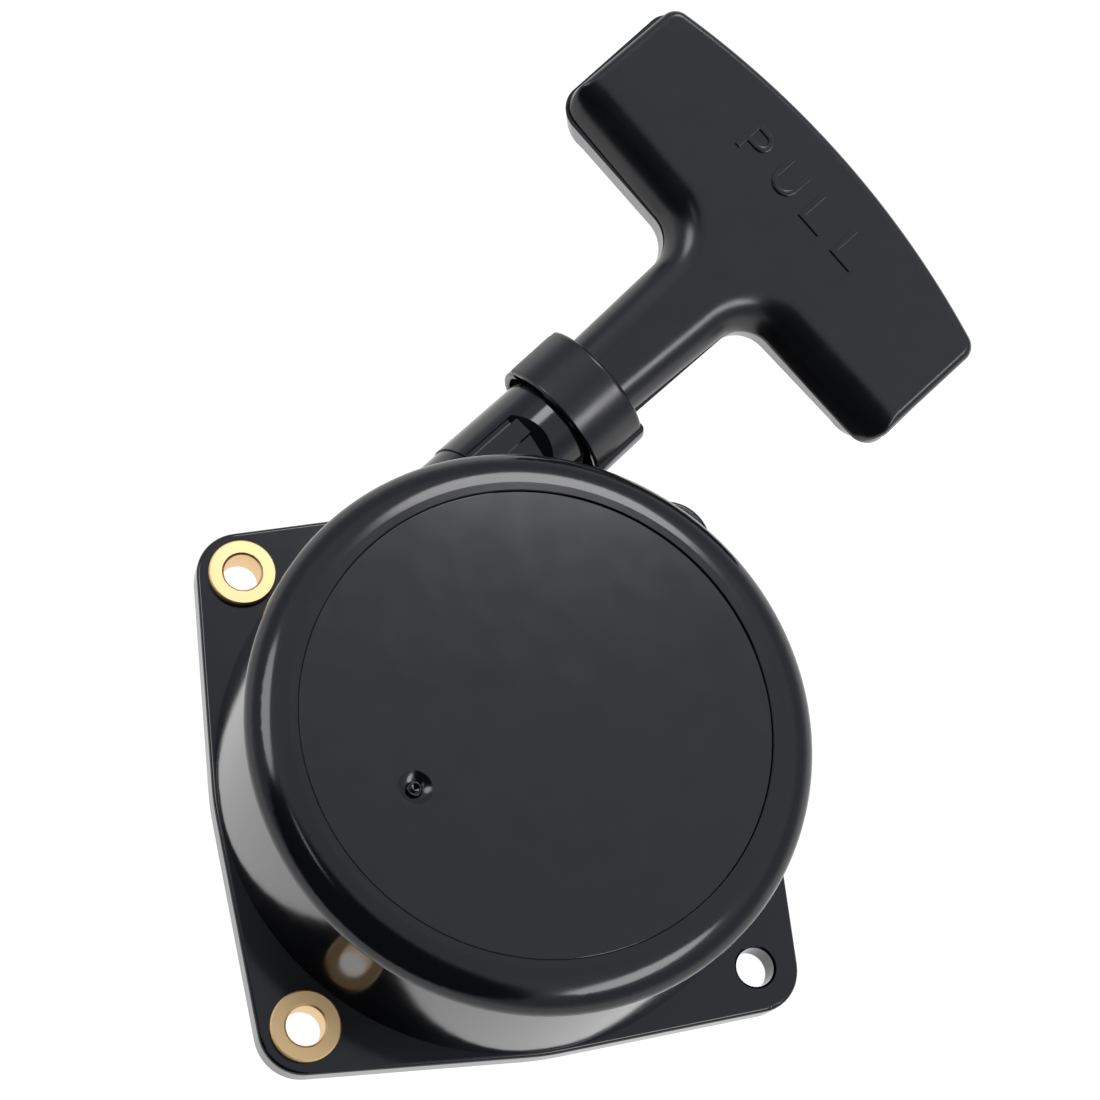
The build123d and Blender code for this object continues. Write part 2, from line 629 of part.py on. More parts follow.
# ---------------------------------------------------------------------------
nodes = {
    "starter_case": case,
    "face_disc": disc,
    "spring_anchor_pin": pin,
    "mount_bushes": bushes,
    "rope_guide": guide,
    "recoil_spring": spring,
    "spring_cover": cover,
    "cover_screws": cover_screws,
    "axle_sleeve": sleeve,
    "reel": reel,
    "rope_coil": coil,
    "rope_knot_reel": knot_reel,
    "pawl_pins": pawl_pins,
    "pawl_a": pawl_a,
    "pawl_b": pawl_b,
    "ratchet_guide": ratchet,
    "friction_spring": friction,
    "centre_washer": washer,
    "centre_screw": screw,
    "handle_front_shell": place_h(front),
    "handle_back_shell": place_h(back),
    "handle_screws": screws,
    "rope_run": rope_run,
    "rope_washer": place_h(rope_washer),
    "rope_knot_handle": place_h(knot_handle),
}

os.makedirs("parts", exist_ok=True)
for name, shape in nodes.items():
    export_step(shape, os.path.join("parts", name + ".step"))
    bb = shape.bounding_box()
    print(name, len(shape.solids()), round(sum(b.volume for b in shape.solids()), 1),
          [round(v, 2) for v in (bb.min.X, bb.min.Y, bb.min.Z, bb.max.X, bb.max.Y, bb.max.Z)])
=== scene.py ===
import bpy
import bmesh
import json
import math
from mathutils import Matrix, Vector


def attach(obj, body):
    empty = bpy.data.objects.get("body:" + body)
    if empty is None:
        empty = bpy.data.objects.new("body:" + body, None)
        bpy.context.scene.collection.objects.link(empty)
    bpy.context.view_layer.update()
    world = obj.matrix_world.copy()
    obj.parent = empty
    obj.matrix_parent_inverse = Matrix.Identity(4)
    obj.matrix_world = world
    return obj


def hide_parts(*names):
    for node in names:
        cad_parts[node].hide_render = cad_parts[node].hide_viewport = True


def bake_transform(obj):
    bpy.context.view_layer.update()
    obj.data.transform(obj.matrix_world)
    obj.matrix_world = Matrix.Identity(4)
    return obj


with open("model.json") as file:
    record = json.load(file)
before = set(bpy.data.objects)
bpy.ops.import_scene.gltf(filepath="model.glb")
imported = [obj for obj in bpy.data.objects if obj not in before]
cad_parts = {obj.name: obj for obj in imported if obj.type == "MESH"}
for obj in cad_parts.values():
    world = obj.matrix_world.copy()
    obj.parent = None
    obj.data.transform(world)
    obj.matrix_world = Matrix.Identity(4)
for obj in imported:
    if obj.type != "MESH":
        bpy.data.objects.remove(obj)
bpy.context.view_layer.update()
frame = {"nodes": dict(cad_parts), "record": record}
nodes = frame["nodes"]
MM = 0.001


# ---------------------------------------------------------------------------
# camera: a long lens from above the lower left corner
# ---------------------------------------------------------------------------
cam_data = bpy.data.cameras.new("camera")
cam = bpy.data.objects.new("camera", cam_data)
bpy.context.scene.collection.objects.link(cam)
bpy.context.scene.camera = cam
cam_data.sensor_fit = "HORIZONTAL"
cam_data.sensor_width = 36.0
cam_data.lens = 81.941
cam_data.clip_start = 0.01
cam_data.clip_end = 50.0
R = ((0.955630013, -0.169410299, 0.240980141),
     (0.076737309, 0.933001514, 0.351595734),
     (-0.284398775, -0.317503268, 0.904604340))
C = (-0.098872115, -0.091682154, 0.365106117)
cam.matrix_world = Matrix((
    (R[0][0], R[1][0], R[2][0], C[0]),
    (R[0][1], R[1][1], R[2][1], C[1]),
    (R[0][2], R[1][2], R[2][2], C[2]),
    (0, 0, 0, 1)))

# ---------------------------------------------------------------------------
# handle frame: p along the rope, q along the bar, w out of its front face
# ---------------------------------------------------------------------------
PULL_AZ, PULL_OFF, PULL_Z, ROLL = 36.33, 33.45, 14.0, 7.89
TILT, YAW, PIVOT = 12.0, -1.69, 50.0      # the handle leans on the neck's mouth
az, rl = math.radians(PULL_AZ), math.radians(ROLL)
U = Vector((math.cos(az), math.sin(az), 0))
N0 = Vector((-math.sin(az), math.cos(az), 0))
ORG = N0 * PULL_OFF + Vector((0, 0, PULL_Z))
hz, he = math.radians(PULL_AZ + YAW), math.radians(TILT)
UH = Vector((math.cos(hz) * math.cos(he), math.sin(hz) * math.cos(he), math.sin(he)))
NH = Vector((-math.sin(hz), math.cos(hz), 0))
ZH = UH.cross(NH)
NQ = NH * math.cos(rl) + ZH * math.sin(rl)
WQ = ZH * math.cos(rl) - NH * math.sin(rl)
ORGH = ORG + U * PIVOT - UH * PIVOT


def L2W(p, q, w):
    return (ORGH + UH * p + NQ * q + WQ * w) * MM


# ---------------------------------------------------------------------------
# mesh helpers
# ---------------------------------------------------------------------------
def obj_from(name, verts, faces, smooth_deg=35.0):
    me = bpy.data.meshes.new(name)
    me.from_pydata([tuple(v) for v in verts], [], faces)
    me.validate()
    bm = bmesh.new()
    bm.from_mesh(me)
    bmesh.ops.remove_doubles(bm, verts=bm.verts, dist=1e-7)
    bmesh.ops.recalc_face_normals(bm, faces=bm.faces)
    bm.to_mesh(me)
    bm.free()
    ob = bpy.data.objects.new(name, me)
    bpy.context.scene.collection.objects.link(ob)
    shade(ob, smooth_deg)
    return ob


def shade(ob, deg):
    me = ob.data
    for p in me.polygons:
        p.use_smooth = True
    me.set_sharp_from_angle(angle=math.radians(deg))


def lathe(profile, n=192, arc=(0.0, 360.0), closed_profile=True):
    """Revolved (r, z) profile about z, in mm: returns vertices and faces."""
    full = abs(arc[1] - arc[0] - 360.0) < 1e-6
    cnt = n if full else n + 1
    vs, fs = [], []
    m = len(profile)
    for i in range(cnt):
        a = math.radians(arc[0] + (arc[1] - arc[0]) * i / n)
        for r, z in profile:
            vs.append((r * math.cos(a), r * math.sin(a), z))
    loops = m if closed_profile else m - 1
    for i in range(n):
        i2 = (i + 1) % cnt
        for j in range(loops):
            j2 = (j + 1) % m
            fs.append((i * m + j, i2 * m + j, i2 * m + j2, i * m + j2))
    if not full:
        fs.append(tuple(range(m)))
        fs.append(tuple((cnt - 1) * m + j for j in reversed(range(m))))
    return vs, fs


def boolean(ob, cutter, op, solver="MANIFOLD"):
    md = ob.modifiers.new("b", "BOOLEAN")
    md.operation = op
    md.object = cutter
    md.solver = solver
    dg = bpy.context.evaluated_depsgraph_get()
    me = bpy.data.meshes.new_from_object(ob.evaluated_get(dg))
    ob.modifiers.remove(md)
    old = ob.data
    ob.data = me
    bpy.data.meshes.remove(old)
    cm = cutter.data
    bpy.data.objects.remove(cutter)
    bpy.data.meshes.remove(cm)


def apply_modifiers(ob):
    dg = bpy.context.evaluated_depsgraph_get()
    me = bpy.data.meshes.new_from_object(ob.evaluated_get(dg))
    ob.modifiers.clear()
    old = ob.data
    ob.data = me
    bpy.data.meshes.remove(old)


def tidy(ob, deg):
    bm = bmesh.new()
    bm.from_mesh(ob.data)
    bmesh.ops.remove_doubles(bm, verts=bm.verts, dist=2e-7)
    bmesh.ops.dissolve_degenerate(bm, dist=1e-7, edges=bm.edges)
    loose = [v for v in bm.verts if not v.link_faces]
    bmesh.ops.delete(bm, geom=loose, context="VERTS")
    bm.to_mesh(ob.data)
    bm.free()
    shade(ob, deg)
    # the large flats keep their own normal right up to their edge rolls
    me = ob.data
    strong = flat_faces(me, (60.0 * MM * MM))
    at = me.attributes.new("__mod_weightednormals_faceweight", "INT", "FACE")
    at.data.foreach_set("value", [16384 if s else 0 for s in strong])
    md = ob.modifiers.new("wn", "WEIGHTED_NORMAL")
    md.mode = "FACE_AREA"
    md.weight = 50
    md.keep_sharp = True
    md.use_face_influence = True
    apply_modifiers(ob)
    at = ob.data.attributes.get("__mod_weightednormals_faceweight")
    if at is not None:
        ob.data.attributes.remove(at)


def flat_faces(me, least):
    """True for each face that belongs to a flat region of at least this area."""
    bm = bmesh.new()
    bm.from_mesh(me)
    bm.faces.ensure_lookup_table()
    bm.normal_update()
    out = [False] * len(bm.faces)
    seen = [False] * len(bm.faces)
    lim = math.cos(math.radians(0.25))
    for f0 in bm.faces:
        if seen[f0.index] or f0.calc_area() < 1e-11:
            continue
        n0 = f0.normal.copy()
        seen[f0.index] = True
        todo, group, area = [f0], [], 0.0
        while todo:
            f = todo.pop()
            group.append(f.index)
            area += f.calc_area()
            for e in f.edges:
                for g in e.link_faces:
                    if not seen[g.index] and (g.normal.dot(n0) > lim or g.calc_area() < 1e-12):
                        seen[g.index] = True
                        todo.append(g)
        if area >= least:
            for i in group:
                out[i] = True
    bm.free()
    return out


# ---------------------------------------------------------------------------
# handle shells: a plan outline with its own corner radii at the parting plane
# and at the face, joined by walls, with an edge roll that varies round it
# ---------------------------------------------------------------------------
def arc_pts(cx, cy, r, a0, a1, n):
    return [(cx + r * math.cos(math.radians(a0 + (a1 - a0) * i / n)),
             cy + r * math.sin(math.radians(a0 + (a1 - a0) * i / n))) for i in range(n + 1)]


def half_outline(stem_a, stem_b, bar_a, sweep, half, bow_r, rc1, rc2, rfil, p0):
    """Points from the stem's end to the middle of the bow, on the +q side.
    Returns [(p, q, kind)], kind in 0 stem .. 3 bow, used to blend the roll."""
    out = []
    BOW = -39.83
    # concave corner between stem and bar
    k = (stem_b - stem_a) / (bar_a - p0)
    # stem line q = stem_a + k (p - p0);  bar line p = bar_a + sweep q
    # the circle touching both, radius rfil, on the open side
    # iterate for the centre
    cx, cy = bar_a - rfil, stem_b + rfil
    for _ in range(40):
        ns = math.hypot(1, k)
        ds = (cy - (stem_a + k * (cx - p0))) / ns
        nb = math.hypot(1, sweep)
        db = ((bar_a + sweep * cy) - cx) / nb
        cy += (rfil - ds)
        cx -= (rfil - db)
    ts = math.degrees(math.atan2(-1, k))          # towards the stem line
    tb = math.degrees(math.atan2(-sweep, 1))      # towards the bar line
    sx, sy = cx + rfil * math.cos(math.radians(ts)), cy + rfil * math.sin(math.radians(ts))
    n1 = 26
    for i in range(n1):
        t = i / n1
        out.append((p0 + (sx - p0) * t, stem_a + (sy - stem_a) * t, 0.0))
    a = arc_pts(cx, cy, rfil, ts, tb, 18)
    for i, (x, y) in enumerate(a):
        out.append((x, y, i / 18.0))
    # drum side of the bar to the corner
    def on_bar(q):
        return bar_a + sweep * q
    ccy = half - rc1
    ccx = on_bar(ccy) + rc1
    x0, y0 = a[-1]
    n2 = 26
    for i in range(1, n2):
        q = y0 + (ccy - y0) * i / n2
        out.append((on_bar(q), q, 1.0))
    c1 = arc_pts(ccx, ccy, rc1, 180.0, 90.0, 18)
    for i, (x, y) in enumerate(c1):
        out.append((x, y, 1.0 + i / 18.0))
    # end face to the outer corner; the bow is a circle round (BOW, 0)
    # corner circle of radius rc2 inside both the end line and the bow circle
    qy = half - rc2
    qx = BOW + math.sqrt((bow_r - rc2) ** 2 - qy ** 2)
    n3 = 16
    for i in range(1, n3):
        out.append((c1[-1][0] + (qx - c1[-1][0]) * i / n3, half, 2.0))
    an = math.degrees(math.atan2(qy, qx - BOW))
    c2 = arc_pts(qx, qy, rc2, 90.0, an, 14)
    for i, (x, y) in enumerate(c2):
        out.append((x, y, 2.0 + i / 14.0))
    n4 = 44
    for i in range(1, n4 + 1):
        b = math.radians(an * (1 - i / n4))
        out.append((BOW + bow_r * math.cos(b), bow_r * math.sin(b), 3.0))
    return out


def loft_shell(name, low, top, w0, h, rolls, sign):
    """low and top: half outlines (same count). rolls: roll radius by kind."""
    def full(o):
        m = [(p, -q, k) for p, q, k in reversed(o[:-1])]
        return o + m
    A, B = full(low), full(top)
    n = len(A)

    def roll_at(kind):
        i = min(int(kind), 2)
        t = kind - i
        t = t * t * (3 - 2 * t)
        return rolls[i] * (1 - t) + rolls[i + 1] * t

    # inward normals of the top outline (open chain, so end points use one side)
    nrm = []
    for i in range(n):
        a = B[max(i - 1, 0)]
        b = B[min(i + 1, n - 1)]
        dx, dy = b[0] - a[0], b[1] - a[1]
        L = math.hypot(dx, dy) or 1.0
        nrm.append((dy / L, -dx / L))

    # first pass: wall direction and reach of the roll for every row
    info = []
    for i in range(n):
        px, qx, kind = A[i]
        pt, qt, _ = B[i]
        nx, ny = nrm[i]
        top_v = Vector((pt, qt, h))
        d = (Vector((px, qx, w0)) - top_v).normalized()
        inn = Vector((nx, ny, 0.0))
        # keep the section plane square to the outline
        d = (inn * d.dot(inn) + Vector((0, 0, 1)) * d.z).normalized()
        phi = d.angle(inn)
        info.append((top_v, d, inn, phi, roll_at(kind) / math.tan(phi / 2)))
    # the edge of the flat: the drum side's inner line and the end's inner line
    # meet at the bar's corner
    drum = [i for i in range(n) if B[i][2] == 1.0 and B[i][1] > 0]
    ends = [i for i in range(n) if B[i][2] == 2.0 and B[i][1] > 0]
    pa, pb = (info[i][0] + info[i][2] * info[i][4] for i in (drum[0], drum[-1]))
    slope = (pb.x - pa.x) / (pb.y - pa.y)
    q_c = pb.y
    q_e = (info[ends[len(ends) // 2]][0] + info[ends[len(ends) // 2]][2] * info[ends[len(ends) // 2]][4]).y

    def line(q):
        return pb.x + slope * (q - pb.y)

    NA = 14
    rows = []
    for i in range(n):
        px, qx, kind = A[i]
        top_v, d, inn, phi, T = info[i]
        I = top_v + inn * T
        s = 1.0 if I.y >= 0 else -1.0
        if 1.0 < kind < 2.0:
            qi = q_c + (q_e - q_c) * (kind - 1.0)
            I = Vector((line(qi), s * qi, h))
        elif kind == 2.0 and I.x < line(q_e):
            I = Vector((line(q_e), s * q_e, h))
        P0 = top_v + d * T
        wgt = math.sin(phi / 2)

        def at(t, P0=P0, E=top_v, I=I, g=wgt):
            a, b, c = (1 - t) * (1 - t), 2 * g * t * (1 - t), t * t
            return (P0 * a + E * b + I * c) / (a + b + c)

        foot = Vector((px, qx, w0))
        z1 = w0 + 0.25
        if P0.z < z1:
            # the parting plane cuts the roll: slide the lower part onto the outline
            lo, hi = 0.0, 1.0
            for _ in range(40):
                mid = (lo + hi) / 2
                if at(mid).z < z1:
                    lo = mid
                else:
                    hi = mid
            t0 = hi
            hit = at(t0)
            off = Vector((px - hit.x, qx - hit.y, 0))
            row = [foot]
            for j in range(NA + 3):
                f = max(0.0, 1 - j / (NA + 2) * 2.2)
                row.append(at(t0 + (1 - t0) * j / (NA + 2)) + off * (f * f))
        else:
            row = [foot, foot.lerp(P0, 0.34), foot.lerp(P0, 0.67)]
            for j in range(NA + 1):
                row.append(at(j / NA))
        rows.append(row)
    m = len(rows[0])
    verts, faces = [], []
    for row in rows:
        for v in row:
            verts.append(L2W(v.x, v.y, v.z * sign))
    for i in range(n - 1):
        for j in range(m - 1):
            faces.append((i * m + j, (i + 1) * m + j, (i + 1) * m + j + 1, i * m + j + 1))
    # the flat face and the parting face, one polygon each
    faces.append(tuple(i * m + m - 1 for i in range(n)))
    faces.append(tuple(i * m for i in reversed(range(n))))
    # cap at the stem's open end
    faces.append(tuple(range(m)) + tuple((n - 1) * m + j for j in reversed(range(m))))
    ob = obj_from(name, verts, faces)
    bm = bmesh.new()
    bm.from_mesh(ob.data)
    bmesh.ops.remove_doubles(bm, verts=bm.verts, dist=1e-7)
    bmesh.ops.triangulate(bm, faces=[f for f in bm.faces if len(f.verts) > 4], ngon_method="BEAUTY")
    bmesh.ops.dissolve_degenerate(bm, dist=1e-8, edges=bm.edges)
    bmesh.ops.recalc_face_normals(bm, faces=bm.faces)
    bm.to_mesh(ob.data)
    bm.free()
    return ob


def prism(name, lo, hi):
    (x0, y0, z0), (x1, y1, z1) = lo, hi
    vs = [L2W(x, y, z) for x in (x0, x1) for y in (y0, y1) for z in (z0, z1)]
    fs = [(0, 1, 3, 2), (4, 6, 7, 5), (0, 4, 5, 1), (2, 3, 7, 6), (0, 2, 6, 4), (1, 5, 7, 3)]
    return obj_from(name, vs, fs)


def rod_mesh(name, prof, n=160, arc=(0.0, 360.0)):
    """Revolved about the rope's axis: prof is (radius, p)."""
    vs, fs = lathe(prof, n, arc)
    vs = [L2W(z, x, y) for x, y, z in vs]
    return obj_from(name, vs, fs)

# plan outlines, mm
P0 = 52.6
PART_W = 4.0      # the shells meet this far in front of the rope's axis
low_f = half_outline(7.2, 8.1, 78.3, 0.0188, 37.1, 148.6, 3.75, 3.2, 5.65, P0)
top_f = half_outline(7.12, 8.03, 78.6, 0.0188, 36.6, 147.27, 3.45, 2.75, 5.65, P0)
front = loft_shell("handle_front", low_f, top_f, PART_W, 9.0, (5.15, 6.9, 1.5, 1.4), 1.0)

low_b = half_outline(7.2, 8.1, 78.25, 0.0188, 37.3, 148.6, 4.3, 3.9, 5.65, P0)
top_b = half_outline(7.15, 8.05, 80.2, 0.0188, 36.7, 145.0, 6.6, 5.6, 6.0, P0)
back = loft_shell("handle_back", low_b, top_b, -PART_W, 8.0, (6.4, 6.8, 4.6, 3.9), -1.0)


def skirt_profile():
    ra, rb, pa, pb = 9.9, 11.0, 43.8, 53.9
    pts = [(ra, 51.9), (ra, pa + 0.25), (ra + 0.25, pa)]
    for i in range(7):
        a = math.radians(-90 + 90 * i / 6)
        pts.append((rb - 0.5 + 0.5 * math.cos(a), pa + 0.5 + 0.5 * math.sin(a)))
    for i in range(9):
        a = math.radians(0 + 90 * i / 8)
        pts.append((rb - 0.8 + 0.8 * math.cos(a), pb - 0.8 + 0.8 * math.sin(a)))
    pts += [(1.55, pb), (1.55, 51.9)]
    return pts


# local x = p, y = q, z = w; the lathe's own angle runs from q to w
sk_f = rod_mesh("skirt_f", skirt_profile(), 192)
boolean(sk_f, prism("cut", (40.0, -20.0, -20.0), (60.0, 20.0, PART_W)), "DIFFERENCE")
sk_b = rod_mesh("skirt_b", skirt_profile(), 192)
boolean(sk_b, prism("cut", (40.0, -20.0, PART_W), (60.0, 20.0, 20.0)), "DIFFERENCE")

for ob, sk, sg in ((front, sk_f, 1), (back, sk_b, -1)):
    boolean(ob, sk, "UNION")
    boolean(ob, rod_mesh("c1", [(0.0, 49.0), (1.9, 49.0), (1.9, 69.2), (0.0, 69.2)], 48), "DIFFERENCE")
    lo, hi = ((69.9, -4.9, -1.0), (85.0, 4.9, 6.2)) if sg > 0 else ((69.9, -4.9, -5.6), (86.0, 4.9, 5.0))
    boolean(ob, prism("c3", lo, hi), "DIFFERENCE")
    lo, hi = ((68.55, -4.3, -0.9), (71.0, 4.3, 4.4)) if sg > 0 else ((68.55, -4.3, -4.4), (71.0, 4.3, 4.9))
    boolean(ob, prism("c4", lo, hi), "DIFFERENCE")

# the back half sits turned a little on the front one
SKEW, SKEW_P = math.radians(1.1), 79.0
RB = Matrix((UH, NQ, WQ)).to_3x3()          # rows: world to local
for v in back.data.vertices:
    l = RB @ (v.co / MM - ORGH)
    dp, dq = l.x - SKEW_P, l.y
    l.x = SKEW_P + dp * math.cos(SKEW) - dq * math.sin(SKEW)
    l.y = dp * math.sin(SKEW) + dq * math.cos(SKEW)
    v.co = L2W(l.x, l.y, l.z)

# screw seats on the back shell
for q in (24.0, -24.0):
    vs, fs = lathe([(0.0, -9.0), (3.1, -9.0), (3.1, -5.4), (1.6, -5.4), (1.6, -4.0), (0.0, -4.0)], 64)
    vs = [L2W(94.0 + x, q + y, z) for x, y, z in vs]
    boolean(back, obj_from("seat", vs, fs), "DIFFERENCE")


# raised capitals with a flat top and eased edges
def stroke(name, pts, closed=False):
    """pts in letter space (x along the word, y up); a moulded stroke on the face."""
    wid, top, ease = 0.48, 0.34, 0.15
    sec = [(-wid, -0.25), (-wid, top - ease), (-wid + ease * 0.3, top - ease * 0.3), (-wid + ease, top),
           (wid - ease, top), (wid - ease * 0.3, top - ease * 0.3), (wid, top - ease), (wid, -0.25)]
    n = len(pts)
    verts, faces = [], []
    for i, (x, y) in enumerate(pts):
        a = pts[max(i - 1, 0)]
        b = pts[min(i + 1, n - 1)]
        d0 = Vector((x - a[0], y - a[1])) if i else Vector((b[0] - x, b[1] - y))
        d1 = Vector((b[0] - x, b[1] - y)) if i < n - 1 else d0
        d0.normalize()
        d1.normalize()
        t = (d0 + d1).normalized()
        k = 1.0 / max(0.5, t.dot(d0))
        nx, ny = -t.y * k, t.x * k
        for s, h in sec:
            verts.append((x + nx * s, y + ny * s, h))
    m = len(sec)
    for i in range(n - 1):
        for j in range(m):
            j2 = (j + 1) % m
            faces.append((i * m + j, (i + 1) * m + j, (i + 1) * m + j2, i * m + j2))
    faces.append(tuple(range(m)))
    faces.append(tuple((n - 1) * m + j for j in reversed(range(m))))
    return verts, faces


def arc2(cx, cy, rx, ry, a0, a1, n=16):
    return [(cx + rx * math.cos(math.radians(a0 + (a1 - a0) * i / n)),
             cy + ry * math.sin(math.radians(a0 + (a1 - a0) * i / n))) for i in range(n + 1)]


HH, WW = 2.05, 1.65
GLYPH = {
    "P": [[(-WW, -HH - 0.38), (-WW, HH + 0.38)],
          [(-WW, HH), (0.2, HH)] + arc2(0.2, 0.83, 1.28, 1.22, 88, -88, 16) + [(0.2, -0.39), (-WW, -0.39)]],
    "U": [[(-WW, HH + 0.38), (-WW, -0.55)] + arc2(0, -0.55, WW, WW, 180 + 6, 360 - 6, 20) + [(WW, -0.55), (WW, HH + 0.38)]],
    "L": [[(-WW, HH + 0.38), (-WW, -HH), (WW + 0.2, -HH)]],
}
LET_P, LET_SPREAD = 97.84, (11.4, 3.8, -3.8, -11.4)
for ch, q0 in zip("PULL", LET_SPREAD):
    for pts in GLYPH[ch]:
        vs, fs = stroke("s", [(1.18 * x, 1.13 * y) for x, y in pts])
        # letter x runs along -q, letter y along +p
        vs = [L2W(LET_P + y, q0 - x, 9.0 + h) for x, y, h in vs]
        boolean(front, obj_from("s", vs, fs), "UNION")

for ob in (front, back):
    tidy(ob, 28.0)
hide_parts("handle_front_shell")
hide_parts("handle_back_shell")
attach(front, "handle")
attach(back, "handle")

# ---------------------------------------------------------------------------
# the rope: a braided line from the reel's edge to the washer in the handle
# ---------------------------------------------------------------------------
ROPE_R = 1.5
pa, pb = 0.2, 70.4
nr = 130
verts, faces = [], []


def rope_at(p):
    """Centre line: along the neck, then along the leaning handle, in mm."""
    if p <= PIVOT:
        return ORG + U * p
    return ORGH + UH * p


for i in range(nr + 1):
    p = pa + (pb - pa) * i / nr
    c = (rope_at(p - 1.2) + rope_at(p) * 2 + rope_at(p + 1.2)) / 4
    t = (rope_at(p + 1.2) - rope_at(p - 1.2)).normalized()
    e1 = N0 - t * N0.dot(t)
    e1.normalize()
    e2 = t.cross(e1)
    tw = p * 0.55
    for j in range(24):
        a = 2 * math.pi * j / 24
        # eight strands, four each way
        b = 0.06 * math.cos(4 * a + tw * 2.0) + 0.06 * math.cos(4 * a - tw * 2.0)
        r = ROPE_R - 0.10 + b * 0.8
        verts.append((c + e1 * (r * math.cos(a)) + e2 * (r * math.sin(a))) * MM)
for i in range(nr):
    for j in range(24):
        j2 = (j + 1) % 24
        faces.append((i * 24 + j, (i + 1) * 24 + j, (i + 1) * 24 + j2, i * 24 + j2))
faces.append(tuple(reversed(range(24))))
faces.append(tuple(nr * 24 + j for j in range(24)))
rope = obj_from("rope_line", verts, faces, 60.0)
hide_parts("rope_run")
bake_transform(rope)


# ---------------------------------------------------------------------------
# materials
# ---------------------------------------------------------------------------
def nd(nt, kind, **kw):
    n = nt.nodes.new(kind)
    for k, v in kw.items():
        setattr(n, k, v)
    return n


def new_mat(name):
    m = bpy.data.materials.new(name)
    m.use_nodes = True
    nt = m.node_tree
    nt.nodes.clear()
    out = nt.nodes.new("ShaderNodeOutputMaterial")
    b = nt.nodes.new("ShaderNodeBsdfPrincipled")
    nt.links.new(b.outputs[0], out.inputs[0])
    return m, nt, b


def assign(obj, mat):
    if not obj.data.materials:
        obj.data.materials.append(mat)
    for s in obj.material_slots:
        s.material = mat


def noise(nt, vec, scale, detail=3.0, rough=0.5):
    n = nd(nt, "ShaderNodeTexNoise")
    n.inputs["Scale"].default_value = scale
    n.inputs["Detail"].default_value = detail
    n.inputs["Roughness"].default_value = rough
    nt.links.new(vec, n.inputs["Vector"])
    return n.outputs[0]


def remap(nt, val, lo, hi, a=0.25, b=0.75):
    m = nd(nt, "ShaderNodeMapRange")
    m.inputs["From Min"].default_value = a
    m.inputs["From Max"].default_value = b
    m.inputs["To Min"].default_value = lo
    m.inputs["To Max"].default_value = hi
    nt.links.new(val, m.inputs["Value"])
    return m.outputs[0]


def mixc(nt, fac, c0, c1):
    m = nd(nt, "ShaderNodeMix", data_type="RGBA")
    m.inputs[6].default_value = (*c0, 1)
    m.inputs[7].default_value = (*c1, 1)
    nt.links.new(fac, m.inputs[0])
    return m.outputs[2]


def bump(nt, b, pairs):
    """pairs of (height socket, strength, distance)"""
    prev = None
    for h, s, d in pairs:
        bp = nd(nt, "ShaderNodeBump")
        bp.inputs["Strength"].default_value = s
        bp.inputs["Distance"].default_value = d
        nt.links.new(h, bp.inputs["Height"])
        if prev is not None:
            nt.links.new(prev, bp.inputs["Normal"])
        prev = bp.outputs[0]
    nt.links.new(prev, b.inputs["Normal"])


def plastic(name, c0, c1, rough, spread, fine=1800.0, fine_s=0.05, wave=45.0, wave_s=0.04, wave_d=0.00002, ior=1.5):
    m, nt, b = new_mat(name)
    tc = nd(nt, "ShaderNodeTexCoord").outputs["Object"]
    n_lo = noise(nt, tc, wave, 3.0)
    n_mid = noise(nt, tc, wave * 5, 4.0)
    n_hi = noise(nt, tc, fine, 2.0)
    nt.links.new(mixc(nt, n_mid, c0, c1), b.inputs["Base Color"])
    nt.links.new(remap(nt, n_mid, rough - spread, rough + spread), b.inputs["Roughness"])
    b.inputs["IOR"].default_value = ior
    bump(nt, b, [(n_lo, wave_s, wave_d), (n_hi, fine_s, 0.00001)])
    return m


def metal(name, c0, c1, rough, spread, fine=900.0, fine_s=0.1, aniso=0.0):
    m, nt, b = new_mat(name)
    tc = nd(nt, "ShaderNodeTexCoord").outputs["Object"]
    n1 = noise(nt, tc, fine, 4.0, 0.6)
    n2 = noise(nt, tc, 120.0, 3.0)
    b.inputs["Metallic"].default_value = 1.0
    nt.links.new(mixc(nt, n2, c0, c1), b.inputs["Base Color"])
    nt.links.new(remap(nt, n1, rough - spread, rough + spread), b.inputs["Roughness"])
    b.inputs["Anisotropic"].default_value = aniso
    bump(nt, b, [(n1, fine_s, 0.00002)])
    return m


M_CASE = plastic("housing_black", (0.0022, 0.0024, 0.0029), (0.0032, 0.0034, 0.0040), 0.125, 0.015)
M_DISC = plastic("disc_black", (0.0017, 0.0019, 0.0024), (0.0023, 0.0025, 0.0031), 0.145, 0.02, fine_s=0.06, wave_s=0.02, ior=1.53)
M_HANDLE = plastic("handle_black", (0.0022, 0.0024, 0.0029), (0.0032, 0.0034, 0.0040), 0.24, 0.03, fine_s=0.10, ior=1.56)
M_BRASS = metal("brass", (0.84, 0.575, 0.275), (0.88, 0.62, 0.315), 0.38, 0.03, fine_s=0.03)
M_STEEL = metal("steel", (0.55, 0.55, 0.56), (0.66, 0.66, 0.67), 0.28, 0.07)
M_SPRING = metal("spring_steel", (0.22, 0.24, 0.29), (0.36, 0.36, 0.38), 0.30, 0.06, aniso=0.4)
M_REEL = plastic("reel_plastic", (0.018, 0.018, 0.020), (0.026, 0.026, 0.028), 0.42, 0.06, fine_s=0.2)
M_PAWL = metal("pawl_metal", (0.24, 0.23, 0.22), (0.36, 0.35, 0.33), 0.46, 0.10, fine_s=0.25)
M_GUIDE = plastic("guide_black", (0.010, 0.010, 0.011), (0.015, 0.015, 0.016), 0.33, 0.05, fine_s=0.15)


